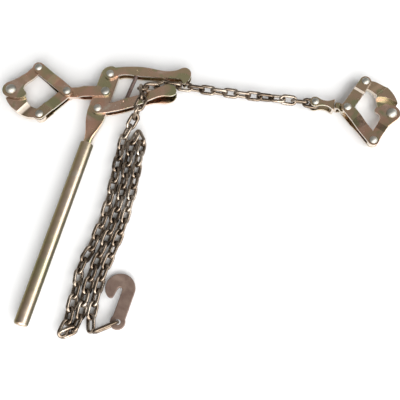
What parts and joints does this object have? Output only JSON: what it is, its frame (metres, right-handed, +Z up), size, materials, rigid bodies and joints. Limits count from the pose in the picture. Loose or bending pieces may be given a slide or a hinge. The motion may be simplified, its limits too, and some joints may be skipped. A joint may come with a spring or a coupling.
{
  "type": "chain wire strainer",
  "caption": "Hand lever with two spring-linked claws that haul a short-link chain, a parallelogram wire grip at each end and a grab hook on the spare chain.",
  "frame": {"origin": "on the bench under the middle of the tool, measured without the folded spare chain and its hook", "axes": "+X along the tight chain from the lever to the far wire grip, +Y from the handle's end towards the lever's head, +Z up from the bench"},
  "size_m": [0.616, 0.4275, 0.0409],
  "materials": {
    "yellow_zinc_steel": "yellow zinc plate, lightly iridescent, semi-gloss",
    "bright_rivet": "domed heads, zinc plated, bright",
    "handle_zinc": "drawn tube, yellow zinc plate, semi-gloss",
    "chain_zinc": "welded short-link chain, yellow zinc plate",
    "spring_steel": "dark spring wire",
    "hook_steel": "matt, dull brown"
  },
  "bodies": {
    "lever": {"lever_head": "yellow_zinc_steel", "handle_tube": "handle_zinc", "upper_claw_rivet": "bright_rivet", "draw_rivet": "bright_rivet", "lower_claw_rivet": "bright_rivet", "claw_spring": "spring_steel", "tight_link_01": "chain_zinc", "tight_link_02": "chain_zinc", "slack_link_1": "chain_zinc", "slack_link_2": "chain_zinc", "slack_link_3": "chain_zinc", "slack_link_4": "chain_zinc", "slack_link_5": "chain_zinc", "slack_link_6": "chain_zinc", "folded_chain": "chain_zinc"},
    "upper_claw": {"upper_claw_front": "yellow_zinc_steel", "upper_claw_back": "yellow_zinc_steel", "upper_spring_pin": "yellow_zinc_steel"},
    "lower_claw": {"lower_claw_front": "yellow_zinc_steel", "lower_claw_back": "yellow_zinc_steel", "lower_spring_pin": "yellow_zinc_steel"},
    "draw_link": {"draw_link_front": "yellow_zinc_steel", "draw_link_back": "yellow_zinc_steel"},
    "left_swivel": {"left_swivel_rivet": "bright_rivet"},
    "left_long_links": {"left_long_link_front": "yellow_zinc_steel", "left_long_link_back": "yellow_zinc_steel"},
    "left_cam": {"left_cam_jaw": "yellow_zinc_steel", "left_cam_rivet": "bright_rivet"},
    "left_short_links": {"left_short_link_front": "yellow_zinc_steel", "left_short_link_back": "yellow_zinc_steel"},
    "left_hook": {"left_hook_jaw": "yellow_zinc_steel", "left_hook_rivet": "bright_rivet", "left_jaw_stud": "bright_rivet"},
    "tight_link_03": {"tight_link_03": "chain_zinc"},
    "tight_link_04": {"tight_link_04": "chain_zinc"},
    "tight_link_05": {"tight_link_05": "chain_zinc"},
    "tight_link_06": {"tight_link_06": "chain_zinc"},
    "tight_link_07": {"tight_link_07": "chain_zinc"},
    "tight_link_08": {"tight_link_08": "chain_zinc"},
    "tight_link_09": {"tight_link_09": "chain_zinc"},
    "tight_link_10": {"tight_link_10": "chain_zinc"},
    "tight_link_11": {"tight_link_11": "chain_zinc"},
    "tight_link_12": {"tight_link_12": "chain_zinc"},
    "tight_link_13": {"tight_link_13": "chain_zinc"},
    "fork": {"chain_fork": "yellow_zinc_steel", "fork_rivet": "bright_rivet"},
    "swivel": {"swivel_pin": "bright_rivet", "grip_clevis": "yellow_zinc_steel"},
    "right_swivel": {"right_swivel_rivet": "bright_rivet"},
    "right_long_links": {"right_long_link_front": "yellow_zinc_steel", "right_long_link_back": "yellow_zinc_steel"},
    "right_cam": {"right_cam_jaw": "yellow_zinc_steel", "right_cam_rivet": "bright_rivet"},
    "right_short_links": {"right_short_link_front": "yellow_zinc_steel", "right_short_link_back": "yellow_zinc_steel"},
    "right_hook": {"right_hook_jaw": "yellow_zinc_steel", "right_hook_rivet": "bright_rivet", "right_jaw_stud": "bright_rivet"},
    "hook_link": {"hook_link": "chain_zinc"},
    "grab_hook": {"grab_hook": "hook_steel"}
  },
  "joints": [
    {"name": "upper_claw_turn", "type": "hinge", "parent": "lever", "child": "upper_claw", "pos_m": [-0.14081, 0.18536, 0.011], "axis": [0, 0, 1], "range_deg": [0, 38], "deforming": ["claw_spring"]},
    {"name": "lower_claw_turn", "type": "hinge", "parent": "lever", "child": "lower_claw", "pos_m": [-0.15738, 0.1252, 0.011], "axis": [0, 0, -1], "range_deg": [0, 10], "deforming": ["claw_spring"]},
    {"name": "draw_link_turn", "type": "hinge", "parent": "lever", "child": "draw_link", "pos_m": [-0.14698, 0.15469, 0.011], "axis": [0, 0, 1], "range_deg": [-35, 30]},
    {"name": "left_grip_swing", "type": "hinge", "parent": "draw_link", "child": "left_swivel", "pos_m": [-0.20647, 0.15418, 0.011], "axis": [0, 0, -1], "range_deg": [-25, 25]},
    {"name": "left_grip_close", "type": "hinge", "parent": "left_swivel", "child": "left_long_links", "pos_m": [-0.20647, 0.15418, 0.011], "axis": [0, 0, -1], "range_deg": [-0.6, 15.6]},
    {"name": "left_short_links_turn", "type": "hinge", "parent": "left_swivel", "child": "left_short_links", "pos_m": [-0.20647, 0.15418, 0.011], "axis": [0, 0, -1], "range_deg": [-15.6, 0.6]},
    {"name": "left_cam_jaw_turn", "type": "hinge", "parent": "left_long_links", "child": "left_cam", "pos_m": [-0.25478, 0.19767, 0.011], "axis": [0, 0, -1], "range_deg": [-31.2, 1.2]},
    {"name": "left_hook_jaw_turn", "type": "hinge", "parent": "left_short_links", "child": "left_hook", "pos_m": [-0.24613, 0.11534, 0.011], "axis": [0, 0, -1], "range_deg": [-1.2, 31.2]},
    {"name": "tight_link_03_swing", "type": "hinge", "parent": "lever", "child": "tight_link_03", "pos_m": [-0.01753, 0.16448, 0.011], "axis": [0, 0, 1], "range_deg": [-40, 40]},
    {"name": "tight_link_04_swing", "type": "hinge", "parent": "tight_link_03", "child": "tight_link_04", "pos_m": [0.00566, 0.1607, 0.011], "axis": [0, 0, -1], "range_deg": [-40, 40]},
    {"name": "tight_link_05_swing", "type": "hinge", "parent": "tight_link_04", "child": "tight_link_05", "pos_m": [0.0184, 0.15866, 0.011], "axis": [0, 0, 1], "range_deg": [-40, 40]},
    {"name": "tight_link_06_swing", "type": "hinge", "parent": "tight_link_05", "child": "tight_link_06", "pos_m": [0.04164, 0.15517, 0.011], "axis": [0, 0, -1], "range_deg": [-40, 40]},
    {"name": "tight_link_07_swing", "type": "hinge", "parent": "tight_link_06", "child": "tight_link_07", "pos_m": [0.05441, 0.15332, 0.011], "axis": [0, 0, 1], "range_deg": [-40, 40]},
    {"name": "tight_link_08_swing", "type": "hinge", "parent": "tight_link_07", "child": "tight_link_08", "pos_m": [0.07768, 0.15007, 0.011], "axis": [0, 0, -1], "range_deg": [-40, 40]},
    {"name": "tight_link_09_swing", "type": "hinge", "parent": "tight_link_08", "child": "tight_link_09", "pos_m": [0.09307, 0.14801, 0.011], "axis": [0, 0, 1], "range_deg": [-6, 6]},
    {"name": "tight_link_10_swing", "type": "hinge", "parent": "tight_link_09", "child": "tight_link_10", "pos_m": [0.11106, 0.14571, 0.011], "axis": [0, 0, -1], "range_deg": [-6, 6]},
    {"name": "tight_link_11_swing", "type": "hinge", "parent": "tight_link_10", "child": "tight_link_11", "pos_m": [0.12879, 0.14344, 0.011], "axis": [0, 0, 1], "range_deg": [-3.5, 6]},
    {"name": "tight_link_12_swing", "type": "hinge", "parent": "tight_link_11", "child": "tight_link_12", "pos_m": [0.14621, 0.14092, 0.011], "axis": [0, 0, -1], "range_deg": [-6, 6]},
    {"name": "tight_link_13_swing", "type": "hinge", "parent": "tight_link_12", "child": "tight_link_13", "pos_m": [0.16358, 0.13805, 0.011], "axis": [0, 0, 1], "range_deg": [-6, 6]},
    {"name": "fork_swing", "type": "hinge", "parent": "tight_link_13", "child": "fork", "pos_m": [0.17784, 0.13543, 0.011], "axis": [0, 0, 1], "range_deg": [-20, 20]},
    {"name": "swivel_spin", "type": "hinge", "parent": "fork", "child": "swivel", "pos_m": [0.17784, 0.13543, 0.011], "axis": [0.9836, -0.1805, 0], "continuous": true},
    {"name": "right_grip_swing", "type": "hinge", "parent": "swivel", "child": "right_swivel", "pos_m": [0.22653, 0.1265, 0.011], "axis": [0, 0, -1], "range_deg": [-25, 25]},
    {"name": "right_grip_close", "type": "hinge", "parent": "right_swivel", "child": "right_long_links", "pos_m": [0.22653, 0.1265, 0.011], "axis": [0, 0, -1], "range_deg": [-13, 3.2]},
    {"name": "right_short_links_turn", "type": "hinge", "parent": "right_swivel", "child": "right_short_links", "pos_m": [0.22653, 0.1265, 0.011], "axis": [0, 0, -1], "range_deg": [-3.2, 13]},
    {"name": "right_cam_jaw_turn", "type": "hinge", "parent": "right_long_links", "child": "right_cam", "pos_m": [0.26212, 0.07211, 0.011], "axis": [0, 0, -1], "range_deg": [-6.4, 26]},
    {"name": "right_hook_jaw_turn", "type": "hinge", "parent": "right_short_links", "child": "right_hook", "pos_m": [0.25883, 0.17162, 0.011], "axis": [0, 0, -1], "range_deg": [-26, 6.4]},
    {"name": "hook_link_swing", "type": "hinge", "parent": "lever", "child": "hook_link", "pos_m": [-0.14559, -0.21338, 0.0093], "axis": [0, 0, 1], "range_deg": [-30, 0]},
    {"name": "grab_hook_swing", "type": "hinge", "parent": "hook_link", "child": "grab_hook", "pos_m": [-0.11344, -0.19954, 0.0093], "axis": [0, 0, 1], "range_deg": [-40, 0]}
  ],
  "couplings": [
    {"joint": "left_short_links_turn", "follows": "left_grip_close", "ratio": -1},
    {"joint": "left_cam_jaw_turn", "follows": "left_grip_close", "ratio": -2},
    {"joint": "left_hook_jaw_turn", "follows": "left_grip_close", "ratio": 2},
    {"joint": "right_short_links_turn", "follows": "right_grip_close", "ratio": -1},
    {"joint": "right_cam_jaw_turn", "follows": "right_grip_close", "ratio": -2},
    {"joint": "right_hook_jaw_turn", "follows": "right_grip_close", "ratio": 2}
  ]
}
